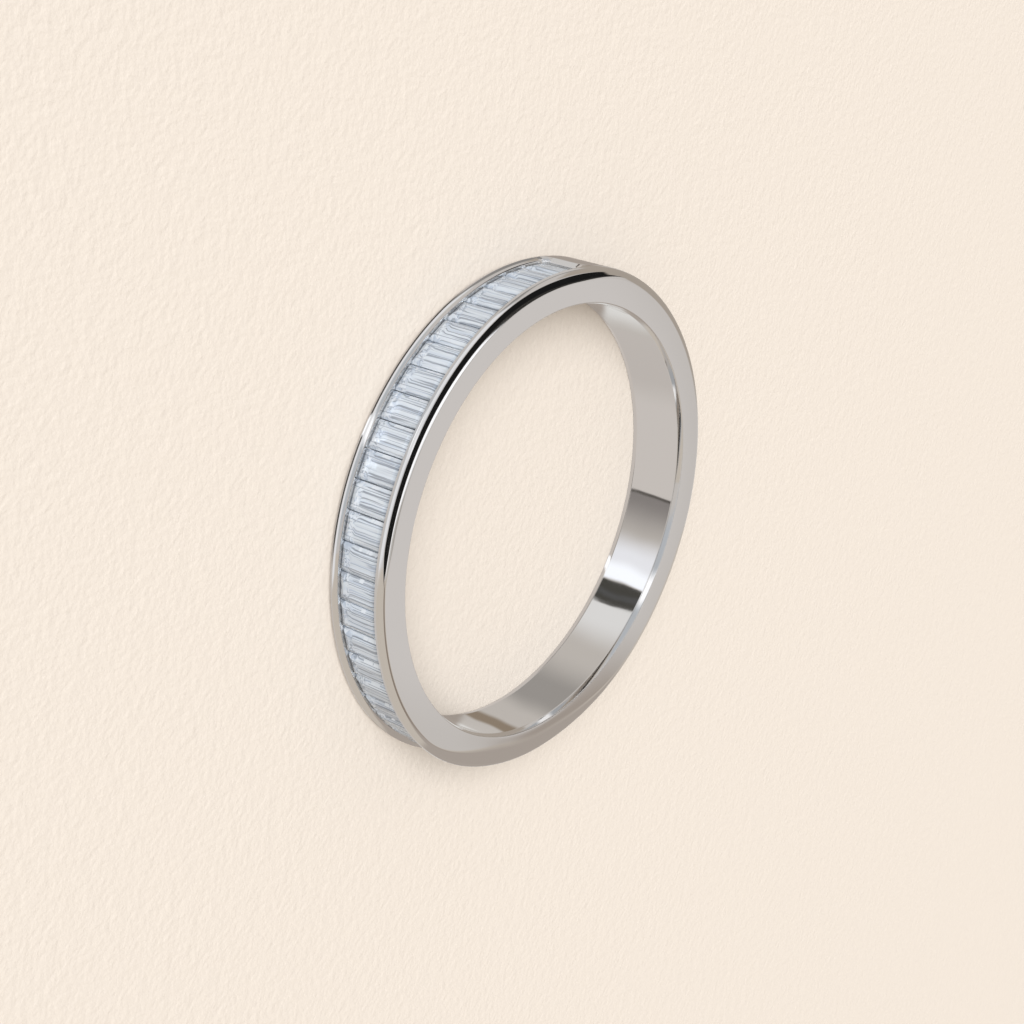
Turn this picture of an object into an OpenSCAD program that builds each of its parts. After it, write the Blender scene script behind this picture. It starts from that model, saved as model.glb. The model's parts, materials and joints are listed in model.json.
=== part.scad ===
// Channel set band ring: a polished white metal band with a half round of
// baguette stones set side by side in a channel.
// The ring lies on a side face. Its axis is Z, the floor is Z = 0, and the
// middle of the stone row points to -Y.

/* [Band] */
// Diameter of the bore that the finger goes through
bore_d = 17; // [15:0.1:21]
// Thickness of the band from the bore to the outer surface
wall = 1.4; // [1.4:0.05:2]
// Width of the band from side face to side face
band_w = 2.5; // [2.5:0.05:3.2]
// Radius of the softened rims of the bore
rim_r = 0.12; // [0.05:0.01:0.2]
// How far the softened outer edge reaches in over a side face
edge_over_side = 0.4; // [0.25:0.01:0.45]
// How far the softened outer edge reaches in over the outer surface
edge_over_outer = 0.25; // [0.15:0.01:0.25]

/* [Channel] */
// Width of the opening between the lips of the channel
opening_w = 1.62; // [1.4:0.02:1.64]
// Width of the bevel around the mouth of the channel
mouth_w = 0.15; // [0.08:0.01:0.16]
// Depth of the bevel around the mouth of the channel
mouth_d = 0.14; // [0.08:0.01:0.16]
// Radius of the rounded corners at the ends of the opening
end_corner_r = 0.3; // [0.2:0.05:0.35]
// How far the opening runs on past the last stone at each end
end_ledge = 0.06; // [0.04:0.01:0.1]
// Clearance between a stone and the metal around it
seat_gap = 0.03; // [0.02:0.01:0.05]

/* [Stones] */
// Number of stones in the row
stone_count = 27; // [9:1:35]
// Part of the circle that the row takes, in degrees
row_arc = 180; // [60:1:230]
// Length of a stone across the band
stone_l = 1.9; // [1.7:0.02:1.92]
// Gap between the girdles of two neighbouring stones
stone_gap = 0.03; // [0.02:0.01:0.06]
// Depth of a stone's table below the outer surface of the band
table_drop = 0.2; // [0.16:0.01:0.3]

/* [Hidden] */
$fn = 96;

// Band
bore_r = bore_d / 2;
outer_r = bore_r + wall;
edge_steps = 8;

// Heights of a stone's levels, measured inwards from its table
crown_step_z = 0.06;
girdle_top_z = 0.16;
girdle_bottom_z = 0.2;
pavilion_step_z = 0.46;
keel_step_z = 0.64;
keel_z = 0.72;

// Half sizes of a stone at those levels
table_r = outer_r - table_drop;
pitch = row_arc / stone_count;
girdle_r = table_r - girdle_bottom_z;
girdle_hw = girdle_r * tan(pitch / 2) - stone_gap / 2;
girdle_hl = stone_l / 2;

// Part of the girdle's half width that is left at each level
width_at_table = 0.52;
width_at_crown_step = 0.78;
width_at_pavilion_step = 0.66;
width_at_keel_step = 0.3;

// How far each level lies in from the girdle at a stone's two ends
end_in_at_table = 0.3;
end_in_at_crown_step = 0.15;
end_in_at_pavilion_step = 0.24;
end_in_at_keel_step = 0.52;
end_in_at_keel = 0.62;

// Channel
mid_z = band_w / 2;
lip_r = outer_r - mouth_d;
opening_hw = opening_w / 2;
floor_r = table_r - keel_z - seat_gap;
undercut_hw = girdle_hl + seat_gap;
seat_hw = girdle_hl - end_in_at_pavilion_step + seat_gap;
seat_r = table_r - pavilion_step_z;
girdle_top_r = norm([table_r - girdle_top_z, girdle_hw]);
lip_foot_r = norm([table_r - crown_step_z, girdle_hw * width_at_crown_step]) + seat_gap;
mouth_slope = mouth_w / mouth_d;
seat_arc = row_arc + 2 * seat_gap / girdle_r * 180 / PI;
straight_arc = row_arc - 2 * (end_corner_r - end_ledge) / girdle_r * 180 / PI;
row_middle = -90;
over = 1;
hair = 0.005;

function two_digits(i) = str(i < 10 ? "0" : "", i);
function stone_name(i) = str("stone_", two_digits(i));
function stone_angle(i) = row_middle + (i - (stone_count + 1) / 2) * pitch;

// Points of a quarter of an ellipse about a centre, from angle a by 90 degrees
function quarter(centre, radii, a) =
    [for (k = [0 : edge_steps])
        centre + [radii[0] * cos(a + 90 * k / edge_steps), radii[1] * sin(a + 90 * k / edge_steps)]];

// Outline of the band's section: distance from the axis, then height
module band_section() {
    rim = [rim_r, rim_r];
    edge = [edge_over_side, edge_over_outer];
    polygon(concat(
        quarter([bore_r + rim_r, rim_r], rim, 180),
        quarter([outer_r - edge_over_side, edge_over_outer], edge, 270),
        quarter([outer_r - edge_over_side, band_w - edge_over_outer], edge, 0),
        quarter([bore_r + rim_r, band_w - rim_r], rim, 90)
    ));
}

// Outline of the seat's section: the floor, the slopes that carry the stones'
// ends and the undercut that holds their girdles
module seat_section() {
    half = [
        [floor_r, seat_hw],
        [seat_r, seat_hw],
        [girdle_r, undercut_hw],
        [girdle_top_r, undercut_hw],
        [lip_foot_r, opening_hw]
    ];
    translate([0, mid_z])
        polygon(concat(
            half,
            [for (k = [len(half) - 1 : -1 : 0]) [half[k][0], -half[k][1]]]
        ));
}

// Outline of the opening's section: straight between the lips, then bevelled
module opening_section() {
    wide = opening_hw + mouth_slope * (mouth_d + over);
    translate([0, mid_z])
        polygon([
            [girdle_r, -opening_hw],
            [lip_r, -opening_hw],
            [outer_r + over, -wide],
            [outer_r + over, wide],
            [lip_r, opening_hw],
            [girdle_r, opening_hw]
        ]);
}

// A section swept over an arc that is centred on the stone row
module sweep_over_row(arc) {
    rotate([0, 0, row_middle - arc / 2])
        rotate_extrude(angle = arc)
            children();
}

// One rounded corner of the opening: a post up to the lip, and a cone from there
module opening_corner() {
    height = mouth_d + over;
    rotate([0, 90, 0]) {
        cylinder(h = height, r1 = end_corner_r, r2 = end_corner_r + mouth_slope * height);
        translate([0, 0, girdle_r - lip_r])
            cylinder(h = lip_r - girdle_r, r = end_corner_r);
    }
}

// End of the opening, past the swept part by the radius of its corners, which
// lie a hair inside its sides so that the surfaces cross and don't just touch
module opening_end() {
    corner_z = opening_hw - end_corner_r - hair;
    overlap = end_corner_r / 2;
    height = mouth_d + over;
    for (side = [-1, 1])
        translate([lip_r, 0, mid_z + side * corner_z])
            opening_corner();
    translate([lip_r, 0, mid_z - corner_z])
        linear_extrude(height = 2 * corner_z)
            polygon([
                [girdle_r - lip_r, -overlap],
                [height, -overlap],
                [height, end_corner_r + mouth_slope * height],
                [0, end_corner_r],
                [girdle_r - lip_r, end_corner_r]
            ]);
}

// What is cut out of the band for the stones
module channel() {
    sweep_over_row(seat_arc)
        seat_section();
    sweep_over_row(straight_arc)
        opening_section();
    for (side = [0, 1])
        mirror([side, 0, 0])
            rotate([0, 0, row_middle + straight_arc / 2])
                opening_end();
}

// The band: one piece of polished white metal
module band() {
    color("gainsboro")
        difference() {
            rotate_extrude()
                band_section();
            channel();
        }
}

// A step cut outline, extruded along the third axis: half width at each level
module step_outline(table, crown, girdle, pavilion, keel_step, keel, length) {
    right = [
        [0, table],
        [-crown_step_z, crown],
        [-girdle_top_z, girdle],
        [-girdle_bottom_z, girdle],
        [-pavilion_step_z, pavilion],
        [-keel_step_z, keel_step],
        [-keel_z, keel]
    ];
    last = keel > 0 ? len(right) - 1 : len(right) - 2;
    linear_extrude(height = length, center = true)
        polygon(concat(right, [for (k = [last : -1 : 0]) [right[k][0], -right[k][1]]]));
}

// A baguette with its table at X = 0, facing +X, and its length along Z
module baguette() {
    intersection() {
        step_outline(
            girdle_hw * width_at_table,
            girdle_hw * width_at_crown_step,
            girdle_hw,
            girdle_hw * width_at_pavilion_step,
            girdle_hw * width_at_keel_step,
            0,
            stone_l + over
        );
        rotate([90, 0, 0])
            step_outline(
                girdle_hl - end_in_at_table,
                girdle_hl - end_in_at_crown_step,
                girdle_hl,
                girdle_hl - end_in_at_pavilion_step,
                girdle_hl - end_in_at_keel_step,
                girdle_hl - end_in_at_keel,
                2 * girdle_hw + over
            );
    }
}

// One stone in its place in the row
module stone(i) {
    color("aliceblue", 0.6)
        rotate([0, 0, stone_angle(i)])
            translate([table_r, 0, mid_z])
                baguette();
}

band();
for (i = [1 : stone_count])
    stone(i);
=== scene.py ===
"""Looks of the channel set band ring: the polished band, the baguette stones and the stage.

Sizes are in metres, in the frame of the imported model. The ring lies on a side face. The outlines of the
band and its channel are in millimetres, and are made metres where they become points.
"""

import json
import math

import bmesh
import bpy
from bpy.props import FloatProperty, FloatVectorProperty, IntProperty, PointerProperty
from mathutils import Matrix, Vector


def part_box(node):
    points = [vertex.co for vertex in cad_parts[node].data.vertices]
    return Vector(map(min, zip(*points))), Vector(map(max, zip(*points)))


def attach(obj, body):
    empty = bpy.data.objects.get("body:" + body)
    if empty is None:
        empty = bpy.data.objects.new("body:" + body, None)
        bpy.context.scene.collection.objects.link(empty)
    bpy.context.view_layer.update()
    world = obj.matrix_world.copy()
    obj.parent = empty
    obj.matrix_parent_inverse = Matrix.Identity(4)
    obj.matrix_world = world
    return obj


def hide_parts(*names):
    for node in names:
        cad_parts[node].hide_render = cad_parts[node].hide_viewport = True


bl_info = {
    "name": "Channel set band ring",
    "version": (1, 0, 0),
    "blender": (4, 5, 0),
    "location": "3D View > Sidebar > Ring",
    "description": "Builds the band, the stones and the stage of a channel set band ring",
    "category": "Object",
}

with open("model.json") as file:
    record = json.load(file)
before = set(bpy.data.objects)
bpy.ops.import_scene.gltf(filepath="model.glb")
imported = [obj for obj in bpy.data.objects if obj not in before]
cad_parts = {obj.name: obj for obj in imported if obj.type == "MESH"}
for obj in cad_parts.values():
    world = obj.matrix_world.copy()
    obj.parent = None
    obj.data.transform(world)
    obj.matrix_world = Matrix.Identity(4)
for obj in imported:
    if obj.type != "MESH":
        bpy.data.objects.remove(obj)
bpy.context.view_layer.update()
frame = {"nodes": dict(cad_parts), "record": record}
BAND_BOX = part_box("band")
STONE_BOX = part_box("stone_01")
MM = 0.001
STONES = [name for name in frame["nodes"] if name.startswith("stone_")]
BAND_W = BAND_BOX[1].z - BAND_BOX[0].z
OUTER_R = BAND_BOX[1].x
BORE_R = frame["record"]["mounts"][0]["dims"]["r_mm"] * MM
STONE_L = STONE_BOX[1].z - STONE_BOX[0].z

# The row of stones is centred on this azimuth, and takes this part of the circle
ROW_MIDDLE = math.radians(-90)
ROW_ARC = math.radians(180)


# The band's outlines, in millimetres


# Rim of the bore: distance out from the bore, depth below the side face, rounding and its segments
RIM = ((0, 0.22, 0.025, 2), (0.065, 0, 0.035, 3))

# Outer edges as the band goes round, from the side face to the outer surface. Each corner has its distance
# in from the outer surface, its depth below the side face, its rounding and the rounding's segments
HEAD = (
    (0.44, 0, 0.025, 3),
    (0.3, 0.0235, 0.02, 2),
    (0.1, 0.084, 0.015, 2),
    (0.012, 0.168, 0.012, 2),
    (0, 0.3, 0, 0),
)
LOW_SIDE = (
    (0.28, 0, 0.02, 3),
    (0.22, 0.011, 0.015, 2),
    (0.18, 0.024, 0.012, 2),
    (0.012, 0.168, 0.012, 2),
    (0, 0.3, 0, 0),
)
ROW_END = (
    (0.5, 0, 0.02, 3),
    (0.44, 0.011, 0.02, 2),
    (0.21, 0.083, 0.03, 2),
    (0.04, 0.2, 0.05, 2),
    (0, 0.36, 0, 0),
)
BACK = (
    (0.32, 0, 0.03, 3),
    (0.22, 0.014, 0.03, 2),
    (0.1, 0.065, 0.04, 2),
    (0.02, 0.16, 0.04, 2),
    (0, 0.28, 0, 0),
)
SHANK = (
    (0.95, 0, 0.2, 3),
    (0.54, 0.045, 0.15, 2),
    (0.18, 0.11, 0.07, 2),
    (0.04, 0.24, 0.07, 2),
    (0, 0.45, 0, 0),
)

# Seat of the stones: distance in from the outer surface and half width of its floor, the slopes that carry
# the stones' ends, the undercut for their girdles and the top. The top lies inside the opening, so that
# the two cutters cross and don't just touch
GIRDLE_DEPTH = 0.4
SEAT = ((0.95, 0.74), (0.66, 0.74), (GIRDLE_DEPTH, 0.96), (0.357, 0.96), (0.2833, 0.85))
# Clearance past the last stone at each end of the row, and the stations of the seat's spin
SEAT_GAP = 0.03
SEAT_STEPS = 361

# Opening between the lips, and the bevel round its mouth: distance in from the outer surface, and how far
# the outline has grown there. The lips are where it starts to grow
LIP_DEPTH = 0.18
OPENING_LEVELS = ((0.6, 0), (LIP_DEPTH, 0), (0.1, 0.04), (-0.4, 0.54))
OPENING_HALF_W = 0.86
OPENING_HALF_ARC = math.radians(90.31)
OPENING_CORNER_R = 0.3
# Points that lie closer than this are at the same level
HAIR = 0.0001


# Sizes and colours


class BandSizes(bpy.types.PropertyGroup):
    bore_r: FloatProperty(
        name="Bore radius", description="Radius of the hole for the finger", default=BORE_R, unit="LENGTH"
    )
    outer_r: FloatProperty(
        name="Outer radius",
        description="Radius of the band's outer surface",
        default=OUTER_R,
        unit="LENGTH",
    )
    width: FloatProperty(
        name="Width", description="Width of the band from side to side", default=BAND_W, unit="LENGTH"
    )
    steps: IntProperty(name="Steps", description="Number of stations round the band", default=720, min=90)
    colour: FloatVectorProperty(
        name="Metal",
        description="Colour of the polished metal",
        subtype="COLOR",
        default=(0.79, 0.775, 0.76),
    )


class StoneLooks(bpy.types.PropertyGroup):
    pitch: FloatProperty(
        name="Pitch",
        description="Angle from one stone to the next",
        default=ROW_ARC / len(STONES),
        subtype="ANGLE",
    )
    half_length: FloatProperty(
        name="Half length",
        description="Half of a stone's length",
        default=STONE_L / 2,
        unit="LENGTH",
        precision=5,
    )
    colour: FloatVectorProperty(
        name="Stone", description="Tint of the stones", subtype="COLOR", default=(0.725, 0.8, 0.885)
    )
    # The shade, the bright lines, the glints and the dark lines are painted reflections and painted shade
    # in the stones' colour
    shade: FloatVectorProperty(
        name="Shade", description="Colour of the soft bands", subtype="COLOR", default=(0.6, 0.67, 0.76)
    )
    bright: FloatVectorProperty(
        name="Bright lines",
        description="Colour of the bright lines",
        subtype="COLOR",
        default=(0.85, 0.905, 0.95),
    )
    white: FloatVectorProperty(
        name="Glints", description="Colour of the brightest lines", subtype="COLOR", default=(0.93, 0.97, 1)
    )
    dark: FloatVectorProperty(
        name="Dark lines",
        description="Colour of the dark lines",
        subtype="COLOR",
        default=(0.235, 0.26, 0.295),
    )


class StageLooks(bpy.types.PropertyGroup):
    floor_colour: FloatVectorProperty(
        name="Floor", description="Colour of the floor", subtype="COLOR", default=(0.702, 0.621, 0.528)
    )
    lens: FloatProperty(name="Lens", description="Focal length in millimetres", default=64.016)


# Node helpers


def new_material(name):
    material = bpy.data.materials.new(name)
    material.use_nodes = True
    tree = material.node_tree
    return material, tree, tree.nodes["Principled BSDF"]


def link(tree, source, target):
    tree.links.new(source, target)


def maths(tree, operation, first, second=None):
    node = tree.nodes.new("ShaderNodeMath")
    node.operation = operation
    for socket, value in zip(node.inputs, (first, second)):
        if isinstance(value, (int, float)):
            socket.default_value = value
        elif value is not None:
            link(tree, value, socket)
    return node.outputs[0]


def product(tree, first, *others):
    for other in others:
        first = maths(tree, "MULTIPLY", first, other)
    return first


def fade(tree, value, start, end):
    """1 at start and 0 at end, smoothly."""
    node = tree.nodes.new("ShaderNodeMapRange")
    node.interpolation_type = "SMOOTHSTEP"
    node.inputs["From Min"].default_value = start
    node.inputs["From Max"].default_value = end
    node.inputs["To Min"].default_value = 1
    node.inputs["To Max"].default_value = 0
    link(tree, value, node.inputs["Value"])
    return node.outputs[0]


def between(tree, value, low, high, soft):
    """1 from low to high, with soft edges outside them."""
    return product(tree, fade(tree, value, low, low - soft), fade(tree, value, high, high + soft))


def mix(tree, below, colour, mask):
    node = tree.nodes.new("ShaderNodeMix")
    node.data_type = "RGBA"
    link(tree, mask, node.inputs["Factor"])
    for value, socket in ((below, node.inputs["A"]), (colour, node.inputs["B"])):
        if isinstance(value, bpy.types.NodeSocket):
            link(tree, value, socket)
        else:
            socket.default_value = (*value, 1)
    return node.outputs["Result"]


def vector(tree, *values):
    node = tree.nodes.new("ShaderNodeCombineXYZ")
    for socket, value in zip(node.inputs, values):
        if isinstance(value, (int, float)):
            socket.default_value = value
        else:
            link(tree, value, socket)
    return node.outputs[0]


def noise(tree, place, scale, detail=2.0, distortion=0.0):
    node = tree.nodes.new("ShaderNodeTexNoise")
    node.inputs["Scale"].default_value = scale
    node.inputs["Detail"].default_value = detail
    node.inputs["Distortion"].default_value = distortion
    link(tree, place, node.inputs["Vector"])
    return node.outputs["Fac"]


def ramp(tree, value, stops):
    node = tree.nodes.new("ShaderNodeValToRGB")
    elements = node.color_ramp.elements
    while len(elements) < len(stops):
        elements.new(0.5)
    for element, (position, colour) in zip(elements, stops):
        element.position = position
        element.color = (*colour, 1)
    link(tree, value, node.inputs["Fac"])
    return node.outputs["Color"]


def bump(tree, height, depth):
    node = tree.nodes.new("ShaderNodeBump")
    node.inputs["Strength"].default_value = 1
    node.inputs["Distance"].default_value = depth
    link(tree, height, node.inputs["Height"])
    return node.outputs["Normal"]


def object_place(tree):
    """The place on the piece as a vector, then its three parts."""
    split = tree.nodes.new("ShaderNodeSeparateXYZ")
    place = tree.nodes.new("ShaderNodeTexCoord").outputs["Object"]
    link(tree, place, split.inputs[0])
    return place, *split.outputs


# Finishes


def polished_metal(colour):
    """Mirror polish with the faint unevenness that hand polishing leaves."""
    material, tree, shader = new_material("polished_white_metal")
    place = object_place(tree)[0]
    wheel_marks = noise(tree, place, 900, 3)
    roughness = maths(tree, "ADD", maths(tree, "MULTIPLY", wheel_marks, 0.06), 0.02)
    shader.inputs["Base Color"].default_value = (*colour, 1)
    shader.inputs["Metallic"].default_value = 1
    link(tree, roughness, shader.inputs["Roughness"])
    link(tree, bump(tree, noise(tree, place, 450, 1), 0.0000015), shader.inputs["Normal"])
    return material


def clear_stone(looks):
    """Clear glass with painted reflections in its colour: the fine lines that a baguette's steps show
    through its table.
    """
    material, tree, shader = new_material("clear_stone")
    _, x, y, z = object_place(tree)
    turn = maths(tree, "ARCTAN2", x, maths(tree, "MULTIPLY", y, -1))
    step = maths(tree, "DIVIDE", turn, looks.pitch)
    number = maths(tree, "ROUND", step)
    # from -0.5 to 0.5 across a stone, and from -1 to 1 along it, from its far end to its near one
    across = maths(tree, "SUBTRACT", step, number)
    along = maths(tree, "DIVIDE", maths(tree, "SUBTRACT", z, BAND_W / 2), looks.half_length)

    def pattern(place, cells, cells_along, seed, detail=1, distortion=0):
        """Noise that differs from stone to stone, with so many cells across it and along half of it."""
        parts = ((place, cells), (number, seed), (along, cells_along))
        place = vector(tree, *(maths(tree, "MULTIPLY", *part) for part in parts))
        return noise(tree, place, 1, detail, distortion)

    def thin_lines(height, width):
        """Lines where a pattern passes its middle height."""
        off_middle = maths(tree, "ABSOLUTE", maths(tree, "SUBTRACT", height, 0.5))
        return fade(tree, off_middle, width * 0.4, width)

    def painted_reflection_bands(height, low, middle, high):
        return ramp(tree, height, [(low, looks.shade), (middle, looks.colour), (high, looks.bright)])

    def lay(below, colour, strength, *masks):
        return mix(tree, below, colour, product(tree, *masks, strength))

    # painted reflections of the steps: lines along the stone over soft bands, all straight but for the far
    # end, where they waver
    far_end = fade(tree, along, -0.55, -0.25)
    waver = maths(tree, "SUBTRACT", pattern(across, 2, 2.5, 1.7), 0.5)
    waver = product(tree, waver, maths(tree, "ADD", maths(tree, "MULTIPLY", far_end, 0.5), 0.03))
    bent = maths(tree, "ADD", across, waver)
    fine = pattern(bent, 8, 0.12, 8.1)
    colour = painted_reflection_bands(pattern(bent, 6, 0.12, 5.3), 0.34, 0.48, 0.6)
    colour = lay(colour, looks.dark, 0.75, thin_lines(fine, 0.09))
    colour = lay(colour, looks.bright, 0.8, thin_lines(pattern(bent, 7, 0.15, 2.9), 0.07))

    # curled reflections at the far end
    curls = painted_reflection_bands(pattern(across, 3, 2.6, 3.1, 2, 1.1), 0.36, 0.5, 0.6)
    curls = lay(curls, looks.dark, 0.6, thin_lines(pattern(across, 2.5, 2.2, 6.7, 1, 1.6), 0.06))
    curls = lay(curls, looks.white, 0.85, thin_lines(pattern(across, 2.2, 2, 9.3, 1, 1.3), 0.045))
    colour = mix(tree, colour, curls, fade(tree, maths(tree, "ADD", along, waver), -0.5, -0.36))

    # the outline of the table, a painted dark reflection line
    painted_table_edge_reflection = between(tree, maths(tree, "ABSOLUTE", across), 0.272, 0.285, 0.012)
    colour = lay(colour, looks.dark, 0.6, painted_table_edge_reflection)

    # painted highlights: white dashes along one side of the stone, on some stones only, beside a painted
    # dark reflection line
    some_stones = fade(tree, pattern(0, 1, 1.2, 2.7), 0.5, 0.46)
    painted_highlight_dashes = between(tree, across, -0.47, -0.38, 0.01)
    painted_dark_reflection_line = between(tree, across, -0.365, -0.352, 0.01)
    colour = lay(colour, looks.dark, 0.8, painted_dark_reflection_line, between(tree, along, -0.2, 1, 0.1))
    for first, last in ((-0.1, 0.33), (0.39, 0.75)):
        colour = lay(colour, looks.white, 1, painted_highlight_dashes, between(tree, along, first, last, 0.02), some_stones)

    # a painted highlight: a thin white line along the other side, which fades towards the far end
    painted_highlight_line = between(tree, across, 0.37, 0.4, 0.015)
    colour = lay(colour, looks.white, 0.8, painted_highlight_line, fade(tree, along, 0.6, -0.5))

    # the shade under the near lip and the far one
    colour = lay(colour, looks.dark, 1, between(tree, along, 0.85, 1.2, 0.01))
    colour = lay(colour, looks.dark, 0.5, between(tree, along, -1.2, -0.88, 0.02))

    link(tree, colour, shader.inputs["Base Color"])
    link(tree, bump(tree, fine, 0.00001), shader.inputs["Normal"])
    shader.inputs["Roughness"].default_value = 0.0
    shader.inputs["IOR"].default_value = 1.9
    shader.inputs["Transmission Weight"].default_value = 0.5
    return material


def pale_floor(colour):
    """A pale matt ground with a fine grain."""
    material, tree, shader = new_material("pale_floor")
    place = object_place(tree)[0]
    shader.inputs["Base Color"].default_value = (*colour, 1)
    shader.inputs["Roughness"].default_value = 0.8
    shader.inputs["Specular IOR Level"].default_value = 0.15
    grain = maths(tree, "ADD", noise(tree, place, 4600, 2), noise(tree, place, 1800, 1))
    link(tree, bump(tree, grain, 0.000024), shader.inputs["Normal"])
    return material


# Light and camera


def key_light(scene):
    """One broad soft light, which the metal doesn't reflect."""
    light = bpy.data.lights.new("key_light", "SUN")
    light.energy = 3.6
    light.angle = math.radians(40)
    light.color = (0.95, 0.985, 1.05)
    lamp = bpy.data.objects.new("key_light", light)
    lamp.rotation_euler = (math.radians(48), 0, math.radians(-32))
    lamp.visible_glossy = False
    scene.collection.objects.link(lamp)


def photo_camera(scene, lens):
    """A camera at the photo's angle to the ring."""
    camera = bpy.data.objects.new("camera", bpy.data.cameras.new("camera"))
    scene.collection.objects.link(camera)
    camera.data.sensor_width = 36
    camera.data.lens = lens
    camera.data.clip_start = 0.005
    # where the camera stands as seen from its aim, and how far it is rolled about its line of sight
    azimuth = math.radians(248.539)
    elevation = math.radians(34.371)
    roll = math.radians(109.428)
    distance = 0.069049
    aim = Vector((-0.000343, -0.001202, 0.00125))
    back = Vector((
        math.cos(azimuth) * math.cos(elevation),
        math.sin(azimuth) * math.cos(elevation),
        math.sin(elevation),
    ))
    upright = back.to_track_quat("Z", "Y").to_matrix()
    turned = upright @ Matrix.Rotation(roll, 3, "Z")
    camera.matrix_world = Matrix.Translation(aim + back * distance) @ turned.to_4x4()
    return camera


# The studio, painted on a map of directions: the zenith is the middle, the distance from it is the angle
# down from the zenith in degrees, and the azimuth runs round it


WALL = (0.65, 0.622, 0.6)
WHITE = (1.3, 1.32, 1.36)
BLACK = (0.012, 0.012, 0.012)
BEIGE = (0.64, 0.585, 0.52)
TAUPE = (0.46, 0.41, 0.37)

# Middles of the two rings of directions that the lips of the channel and the outer edge show
LIP_MIDDLE = (8, 22)
EDGE_MIDDLE = (18.5, 45)

# Top and foot of the low walls that the inside of the ring shows, in degrees down from the zenith
LOW_WALL_TOP = 118.5
LOW_WALL_FOOT = 131

# Panels on the low walls: first and last azimuth, softness at each, colour
LOW_PANELS = (
    ((-15, 22), (20, 8), (0.62, 0.58, 0.55)),
    ((50, 78), (25, 6), (0.78, 0.77, 0.75)),
    ((146, 158), (18, 24), (0.38, 0.36, 0.34)),
    ((208, 217), (20, 1), (0.86, 0.86, 0.86)),
    ((218, 229), (1, 1), (0.075, 0.072, 0.065)),
    ((222.5, 223.5), (2, 2), (0.1, 0.1, 0.1)),
    ((230.5, 246), (1, 14), (0.98, 1.0, 1.06)),
    ((231, 236), (1, 7), (1.22, 1.27, 1.36)),
    ((278, 280.5), (26, 1), (0.28, 0.26, 0.25)),
    ((279.8, 280.4), (1.2, 0.6), (0.12, 0.11, 0.1)),
    ((281.5, 330), (1, 20), (0.7, 0.66, 0.63)),
)


class Studio:
    """The colour of the surroundings in each direction, made of panels laid over each other."""

    def __init__(self, tree, colour):
        self.tree = tree
        self.colour = colour
        self.x, y, z = self.direction()
        back = (maths(tree, "MULTIPLY", part, -1) for part in (y, self.x))
        turn = maths(tree, "ADD", maths(tree, "ARCTAN2", *back), math.pi)
        self.down = maths(tree, "MULTIPLY", maths(tree, "ARCCOSINE", z), math.degrees(1))
        # the panels' sides waver a little, as they do in metal polished by hand
        azimuth = maths(tree, "MULTIPLY", turn, math.degrees(1))
        places = (maths(tree, "MULTIPLY", azimuth, 0.05), maths(tree, "MULTIPLY", self.down, 0.9), 0)
        waver = maths(tree, "SUBTRACT", noise(tree, vector(tree, *places), 1, 1), 0.5)
        self.azimuth = maths(tree, "ADD", azimuth, maths(tree, "MULTIPLY", waver, 7))
        across = maths(tree, "MULTIPLY", self.down, maths(tree, "COSINE", turn))
        self.place = vector(tree, across, maths(tree, "MULTIPLY", self.down, maths(tree, "SINE", turn)), 0)

    def direction(self):
        split = self.tree.nodes.new("ShaderNodeSeparateXYZ")
        link(self.tree, self.tree.nodes.new("ShaderNodeTexCoord").outputs["Generated"], split.inputs[0])
        return split.outputs

    def lay(self, colour, *masks):
        self.colour = mix(self.tree, self.colour, colour, product(self.tree, *masks))

    def from_centre(self, centre, size=(1, 1)):
        """Place and distance from a centre, in half sizes of a panel there."""
        inside = self.tree.nodes.new("ShaderNodeMapping")
        inside.vector_type = "TEXTURE"
        inside.inputs["Location"].default_value = (*centre, 0)
        inside.inputs["Scale"].default_value = (*size, 1)
        link(self.tree, self.place, inside.inputs["Vector"])
        length = self.tree.nodes.new("ShaderNodeVectorMath")
        length.operation = "LENGTH"
        link(self.tree, inside.outputs["Vector"], length.inputs[0])
        return inside.outputs["Vector"], length.outputs["Value"]

    def oval(self, centre, size, soft, colour):
        self.lay(colour, fade(self.tree, self.from_centre(centre, size)[1], 1 - soft, 1 + soft))

    def sector(self, sides, reach, soft, colour):
        """A panel between two azimuths and two angles down from the zenith, with its softness in both."""
        round_it = between(self.tree, self.azimuth, *sides, soft[0])
        self.lay(colour, round_it, between(self.tree, self.down, *reach, soft[1]))

    def arc(self, centre, radii, facing, reach, soft, colour):
        """A strip bent round a centre, past a reach in the direction that it faces."""
        offset, length = self.from_centre(centre)
        along = self.tree.nodes.new("ShaderNodeVectorMath")
        along.operation = "DOT_PRODUCT"
        link(self.tree, offset, along.inputs[0])
        along.inputs[1].default_value = (*facing, 0)
        ahead = fade(self.tree, along.outputs["Value"], reach, reach - soft)
        self.lay(colour, between(self.tree, length, *radii, soft), ahead)

    def low_wall(self, colour, panels, start, soft):
        """What lies below an angle from the zenith: a wall with soft panels side by side."""
        upper = self.colour
        self.colour = colour
        for (first, last), (soft_first, soft_last), tint in panels:
            # an azimuth just below 0 is just below 360 too
            for whole in (0, 360) if first < 0 else (0,):
                rise = fade(self.tree, self.azimuth, first + whole, first + whole - soft_first)
                fall = fade(self.tree, self.azimuth, last + whole, last + whole + soft_last)
                self.lay(tint, rise, fall)
        self.colour = mix(self.tree, upper, self.colour, fade(self.tree, self.down, start, start - soft))


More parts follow.
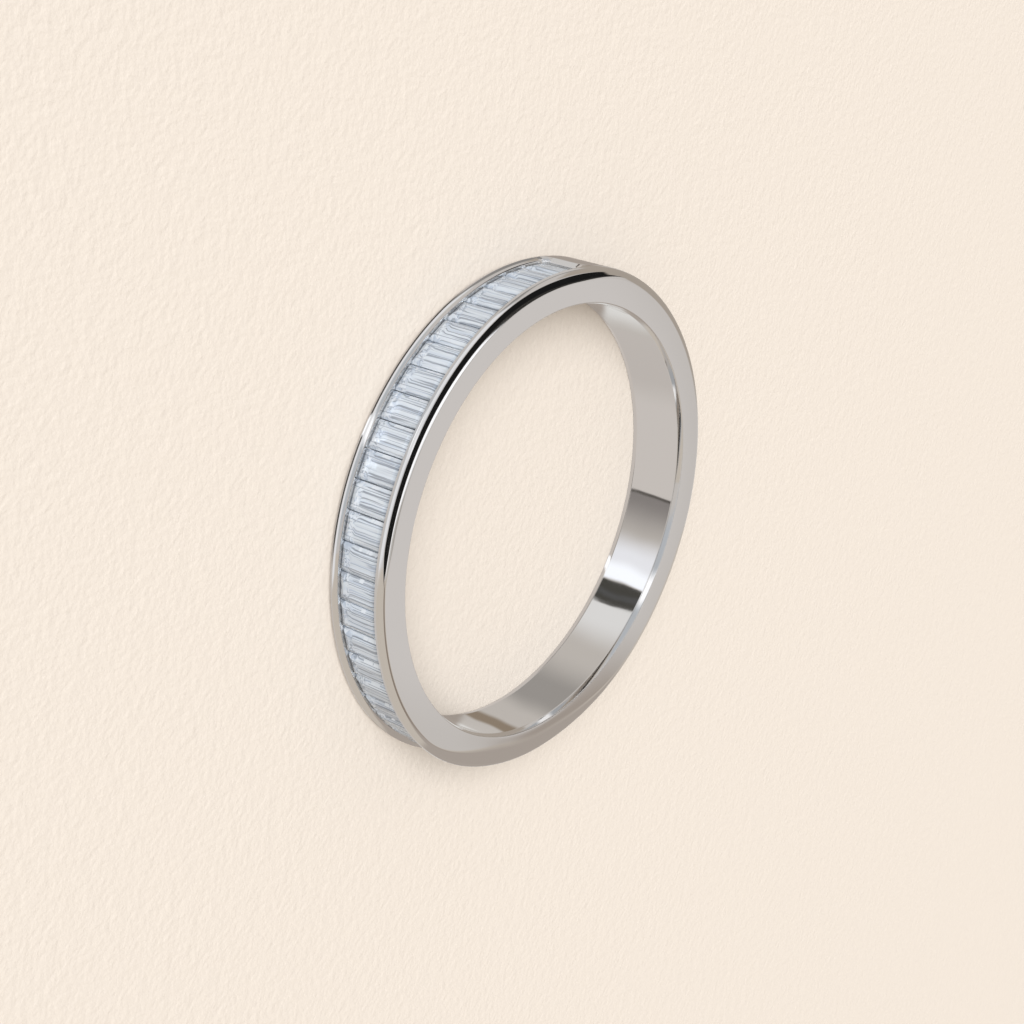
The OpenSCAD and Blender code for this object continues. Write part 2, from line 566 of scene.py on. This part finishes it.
def studio():
    world = bpy.data.worlds.new("studio")
    world.use_nodes = True
    tree = world.node_tree
    room = Studio(tree, WALL)
    # the camera's side of the room, and the warm walls behind
    room.oval((-40, -50), (58, 52), 0.15, (0.54, 0.57, 0.61))
    room.sector((229, 236), (14, 108), (9, 5), WHITE)
    room.lay(BEIGE, fade(tree, room.x, 0.325, 0.315), fade(tree, room.down, 105, 110))
    # the strip that the lips of the channel show, and a darker one further on
    room.arc(LIP_MIDDLE, (58.5, 65.5), (-0.6, -0.8), 34, 4, (0.92, 0.93, 0.96))
    room.arc(LIP_MIDDLE, (59, 68), (-0.96, 0.28), 59, 3, (0.3, 0.29, 0.28))
    # what the outer edge shows: a black flag with its end further on, a white strip and a grey one inside
    # it, and a brown one on the other side
    room.arc(EDGE_MIDDLE, (27.5, 38.5), (-0.868, -0.497), 16.3, 1.5, BLACK)
    room.arc(EDGE_MIDDLE, (15.5, 24), (-0.669, -0.743), 14.6, 1.5, WHITE)
    room.arc(EDGE_MIDDLE, (17, 27.5), (-0.9925, -0.122), 18.2, 0.8, (0.04, 0.038, 0.035))
    room.arc(EDGE_MIDDLE, (11.5, 14.5), (-0.62, -0.78), 9, 1.5, (0.33, 0.31, 0.29))
    room.arc(EDGE_MIDDLE, (14, 26), (0.85, -0.53), 12.5, 1.5, (0.3, 0.25, 0.21))
    # the taupe corner that the thin end of the band shows
    room.oval((64, 52), (31, 33), 0.1, TAUPE)
    # the two plain walls that the near side face shows, and a brown spot on them
    room.oval((20.5, 52), (11, 7.5), 0.15, WALL)
    room.oval((17, 49), (10, 8), 0.15, (0.712, 0.684, 0.668))
    room.oval((29.5, 53.5), (4, 3), 0.5, (0.42, 0.37, 0.33))
    # the end of the stone row shows a darker wall
    room.sector((82, 126), (60.5, 118), (4, 2), (0.45, 0.4, 0.35))
    # the low walls, with a brown patch at their top
    room.low_wall((0.61, 0.575, 0.54), LOW_PANELS, LOW_WALL_TOP, 1)
    room.sector((103.5, 110), (LOW_WALL_TOP, 123.4), (5, 0.8), (0.31, 0.25, 0.19))
    # lower still: the brown edge of the back, and a pale ledge beside it
    room.sector((40, 97), (123.6, LOW_WALL_FOOT), (6, 0.25), (0.4, 0.35, 0.31))
    room.sector((140, 310), (124.4, LOW_WALL_FOOT), (6, 0.4), (0.72, 0.71, 0.7))
    # a pale ground with a dark part and a white one on it
    room.low_wall((0.66, 0.61, 0.57), (), LOW_WALL_FOOT, 4)
    room.sector((160, 290), (134.5, 142.5), (20, 1.5), (0.1, 0.09, 0.08))
    room.sector((229, 238), (LOW_WALL_FOOT, 180), (2, 3), WHITE)
    link(tree, room.colour, tree.nodes["Background"].inputs["Color"])
    return world


# Mesh helpers


def object_from(bm, name):
    mesh = bpy.data.meshes.new(name)
    bm.to_mesh(mesh)
    bm.free()
    piece = bpy.data.objects.new(name, mesh)
    bpy.context.scene.collection.objects.link(piece)
    return piece


def face_outwards(bm):
    bmesh.ops.recalc_face_normals(bm, faces=bm.faces[:])
    if bm.calc_volume(signed=True) < 0:
        bmesh.ops.reverse_faces(bm, faces=bm.faces[:])


def round_corners(bm, points, size, segments):
    bmesh.ops.bevel(
        bm, geom=points, affect="VERTICES", offset=size * MM, segments=segments, profile=0.5, material=-1
    )


def rounded_outline(bm, corners):
    """A face through corners of (x, z, rounding, segments) in the plane Y = 0, with the corners rounded."""
    points = [bm.verts.new((x * MM, 0, z * MM)) for x, z, _, _ in corners]
    bm.faces.new(points)
    for point, (_, _, size, segments) in zip(points, corners):
        if segments:
            round_corners(bm, [point], size, segments)


def spun(corners, angle, steps, start=0.0):
    """A section spun round the finger. Its corners are (radius, height, rounding, segments)."""
    bm = bmesh.new()
    rounded_outline(bm, corners)
    full = angle >= math.tau
    if full:
        bmesh.ops.delete(bm, geom=bm.faces[:], context="FACES_ONLY")
    bmesh.ops.rotate(bm, verts=bm.verts[:], cent=(0, 0, 0), matrix=Matrix.Rotation(start, 3, "Z"))
    bmesh.ops.spin(
        bm,
        geom=bm.verts[:] + bm.edges[:] + bm.faces[:],
        cent=(0, 0, 0),
        axis=(0, 0, 1),
        dvec=(0, 0, 0),
        angle=angle,
        steps=steps,
        use_merge=full,
        use_normal_flip=False,
        use_duplicate=False,
    )
    face_outwards(bm)
    return bm


def both_halves(upper, middle):
    """A section's corners, given for the half above its middle height."""
    return upper + [(r, 2 * middle - z, size, segments) for r, z, size, segments in reversed(upper)]


def band_section(sizes, edge):
    """Corners of the band's whole section, with the rim of the bore and one of the outer edges."""
    bore_r, outer_r, width = sizes.bore_r / MM, sizes.outer_r / MM, sizes.width / MM
    upper = [(bore_r + out, width - depth, size, segments) for out, depth, size, segments in RIM]
    upper += [(outer_r - inwards, width - depth, size, segments) for inwards, depth, size, segments in edge]
    return both_halves(upper, width / 2)


def smooth_step(value, start, end):
    t = min(max((value - start) / (end - start), 0), 1)
    return t * t * (3 - 2 * t)


# How much of each section shows at an azimuth in degrees, over the ones before it


def low_side_share(azimuth):
    """The side below, where the black facet has run out to a point."""
    return smooth_step(azimuth, 264, 274)


def row_end_share(azimuth):
    """The end of the stone row, where the black facet of the edge is wide."""
    return smooth_step(azimuth, 210, 185)


def back_share(azimuth):
    """The plain back, where the side face runs out to a crisp edge."""
    return smooth_step(azimuth, 184, 164)


def shank_share(azimuth):
    """The softly rounded lowest part."""
    return max(smooth_step(azimuth, 42, 8), smooth_step(azimuth, 318, 352))


def blend_round(bm, other, share):
    """Moves a spun shape's points towards the same points of another, by azimuth."""
    for point, target in zip(bm.verts, other.verts):
        azimuth = math.degrees(math.atan2(point.co.y, point.co.x)) % 360
        point.co = point.co.lerp(target.co, share(azimuth))
    other.free()


def seat_cutter(sizes):
    """The floor, the slopes that carry the stones' ends and the undercut for their girdles."""
    outer_r, middle = sizes.outer_r / MM, sizes.width / MM / 2
    corners = both_halves([(outer_r - depth, middle + half_w, 0, 0) for depth, half_w in SEAT], middle)
    arc = ROW_ARC + 2 * SEAT_GAP / (outer_r - GIRDLE_DEPTH)
    return spun(corners, arc, SEAT_STEPS, ROW_MIDDLE - arc / 2)


def opening_cutter(sizes):
    """The opening between the lips with its rounded corners, and the bevel round its mouth."""
    outer_r = sizes.outer_r / MM
    lip_r = outer_r - LIP_DEPTH
    bm = bmesh.new()
    # it is built straight along X, as a flat outline at each level, and bent round the finger afterwards
    loops, caps = [], []
    for depth, grow in OPENING_LEVELS:
        length, width = OPENING_HALF_ARC * lip_r + grow, OPENING_HALF_W + grow
        height = (outer_r - depth) * MM
        ends = [(-length, -width), (length, -width), (length, width), (-length, width)]
        points = [bm.verts.new((x * MM, y * MM, height)) for x, y in ends]
        bm.faces.new(points)
        round_corners(bm, points, OPENING_CORNER_R + grow, 8)
        loops.append([v for v in bm.verts if abs(v.co.z - height) < HAIR * MM])
        caps.append([f for f in bm.faces if abs(f.calc_center_median().z - height) < HAIR * MM])
    bmesh.ops.delete(bm, geom=[f for cap in caps[1:-1] for f in cap], context="FACES_ONLY")
    for low, high in zip(loops, loops[1:]):
        edges = [e for e in bm.edges if all(v in low for v in e.verts) or all(v in high for v in e.verts)]
        bmesh.ops.bridge_loops(bm, edges=edges)
    # cuts halfway between the band's stations let it bend
    station = math.tau / sizes.steps
    cuts = math.ceil(OPENING_HALF_ARC / station) + 1
    for k in range(-cuts, cuts):
        place = ((k + 0.5) * station * lip_r * MM, 0, 0)
        everything = bm.verts[:] + bm.edges[:] + bm.faces[:]
        bmesh.ops.bisect_plane(bm, geom=everything, dist=1e-9, plane_co=place, plane_no=(1, 0, 0))
    for v in bm.verts:
        turn = ROW_MIDDLE + v.co.x / (lip_r * MM)
        v.co = Vector((v.co.z * math.cos(turn), v.co.z * math.sin(turn), sizes.width / 2 + v.co.y))
    face_outwards(bm)
    return bm


def with_modifiers_applied(piece):
    graph = bpy.context.evaluated_depsgraph_get()
    evaluated = piece.evaluated_get(graph)
    mesh = bpy.data.meshes.new_from_object(evaluated, preserve_all_data_layers=True, depsgraph=graph)
    piece.modifiers.clear()
    piece.data = mesh


def cut_away(piece, *cutters):
    """Takes the cutters out of the piece and removes them."""
    for cutter in cutters:
        cut = piece.modifiers.new("cut", "BOOLEAN")
        cut.operation = "DIFFERENCE"
        cut.solver = "EXACT"
        cut.object = cutter
    with_modifiers_applied(piece)
    for cutter in cutters:
        mesh = cutter.data
        bpy.data.objects.remove(cutter)
        bpy.data.meshes.remove(mesh)


def smooth_by_angle(piece, degrees):
    piece.data.shade_smooth()
    piece.data.set_sharp_from_angle(angle=math.radians(degrees))


def keep_flat_faces_flat(piece):
    """Weighs the normals by area. The piece is enlarged for it, because very small areas count as equal."""
    piece.data.transform(Matrix.Scale(1 / MM, 4))
    weighted = piece.modifiers.new("weighted", "WEIGHTED_NORMAL")
    weighted.keep_sharp = True
    with_modifiers_applied(piece)
    piece.data.transform(Matrix.Scale(MM, 4))


# Pieces


class RING_OT_band(bpy.types.Operator):
    """Builds the polished band with its channel"""

    bl_idname = "ring.band"
    bl_label = "Band"

    def execute(self, context):
        sizes = context.scene.ring_band
        sections = [band_section(sizes, edge) for edge in (HEAD, LOW_SIDE, ROW_END, BACK, SHANK)]
        whole, *others = [spun(section, math.tau, sizes.steps) for section in sections]
        for other, share in zip(others, (low_side_share, row_end_share, back_share, shank_share)):
            blend_round(whole, other, share)
        band = object_from(whole, "polished_band")
        seat = object_from(seat_cutter(sizes), "seat")
        opening = object_from(opening_cutter(sizes), "opening")
        cut_away(band, seat, opening)
        smooth_by_angle(band, 30)
        keep_flat_faces_flat(band)
        band.data.materials.append(polished_metal(sizes.colour))
        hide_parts("band")
        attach(band, "root")
        return {"FINISHED"}


class RING_OT_stones(bpy.types.Operator):
    """Gives the baguette stones their clear finish"""

    bl_idname = "ring.stones"
    bl_label = "Stones"

    def execute(self, context):
        clear = clear_stone(context.scene.ring_stones)
        for name in STONES:
            materials = frame["nodes"][name].data.materials
            materials.clear()
            materials.append(clear)
        return {"FINISHED"}


class RING_OT_stage(bpy.types.Operator):
    """Builds the floor, the studio, the light and the camera"""

    bl_idname = "ring.stage"
    bl_label = "Stage"

    def execute(self, context):
        looks = context.scene.ring_stage
        bm = bmesh.new()
        bmesh.ops.create_grid(bm, x_segments=1, y_segments=1, size=0.5)
        floor = object_from(bm, "floor")
        floor.data.materials.append(pale_floor(looks.floor_colour))
        # the metal and the stones show the studio in place of the floor
        floor.visible_glossy = False
        floor.visible_transmission = False
        context.scene.world = studio()
        key_light(context.scene)
        context.scene.camera = photo_camera(context.scene, looks.lens)
        context.scene.view_settings.view_transform = "Standard"
        return {"FINISHED"}


class RING_PT_panel(bpy.types.Panel):
    """Lists the pieces and the stage"""

    bl_idname = "RING_PT_panel"
    bl_label = "Channel set band ring"
    bl_space_type = "VIEW_3D"
    bl_region_type = "UI"
    bl_category = "Ring"

    def draw(self, context):
        for operator in ("ring.band", "ring.stones", "ring.stage"):
            self.layout.operator(operator)


CLASSES = (BandSizes, StoneLooks, StageLooks, RING_OT_band, RING_OT_stones, RING_OT_stage, RING_PT_panel)


def register():
    for cls in CLASSES:
        bpy.utils.register_class(cls)
    bpy.types.Scene.ring_band = PointerProperty(type=BandSizes)
    bpy.types.Scene.ring_stones = PointerProperty(type=StoneLooks)
    bpy.types.Scene.ring_stage = PointerProperty(type=StageLooks)


def unregister():
    del bpy.types.Scene.ring_stage
    del bpy.types.Scene.ring_stones
    del bpy.types.Scene.ring_band
    for cls in reversed(CLASSES):
        bpy.utils.unregister_class(cls)


def main():
    register()
    bpy.ops.ring.band()
    bpy.ops.ring.stones()
    bpy.ops.ring.stage()


if __name__ == "__main__":
    main()
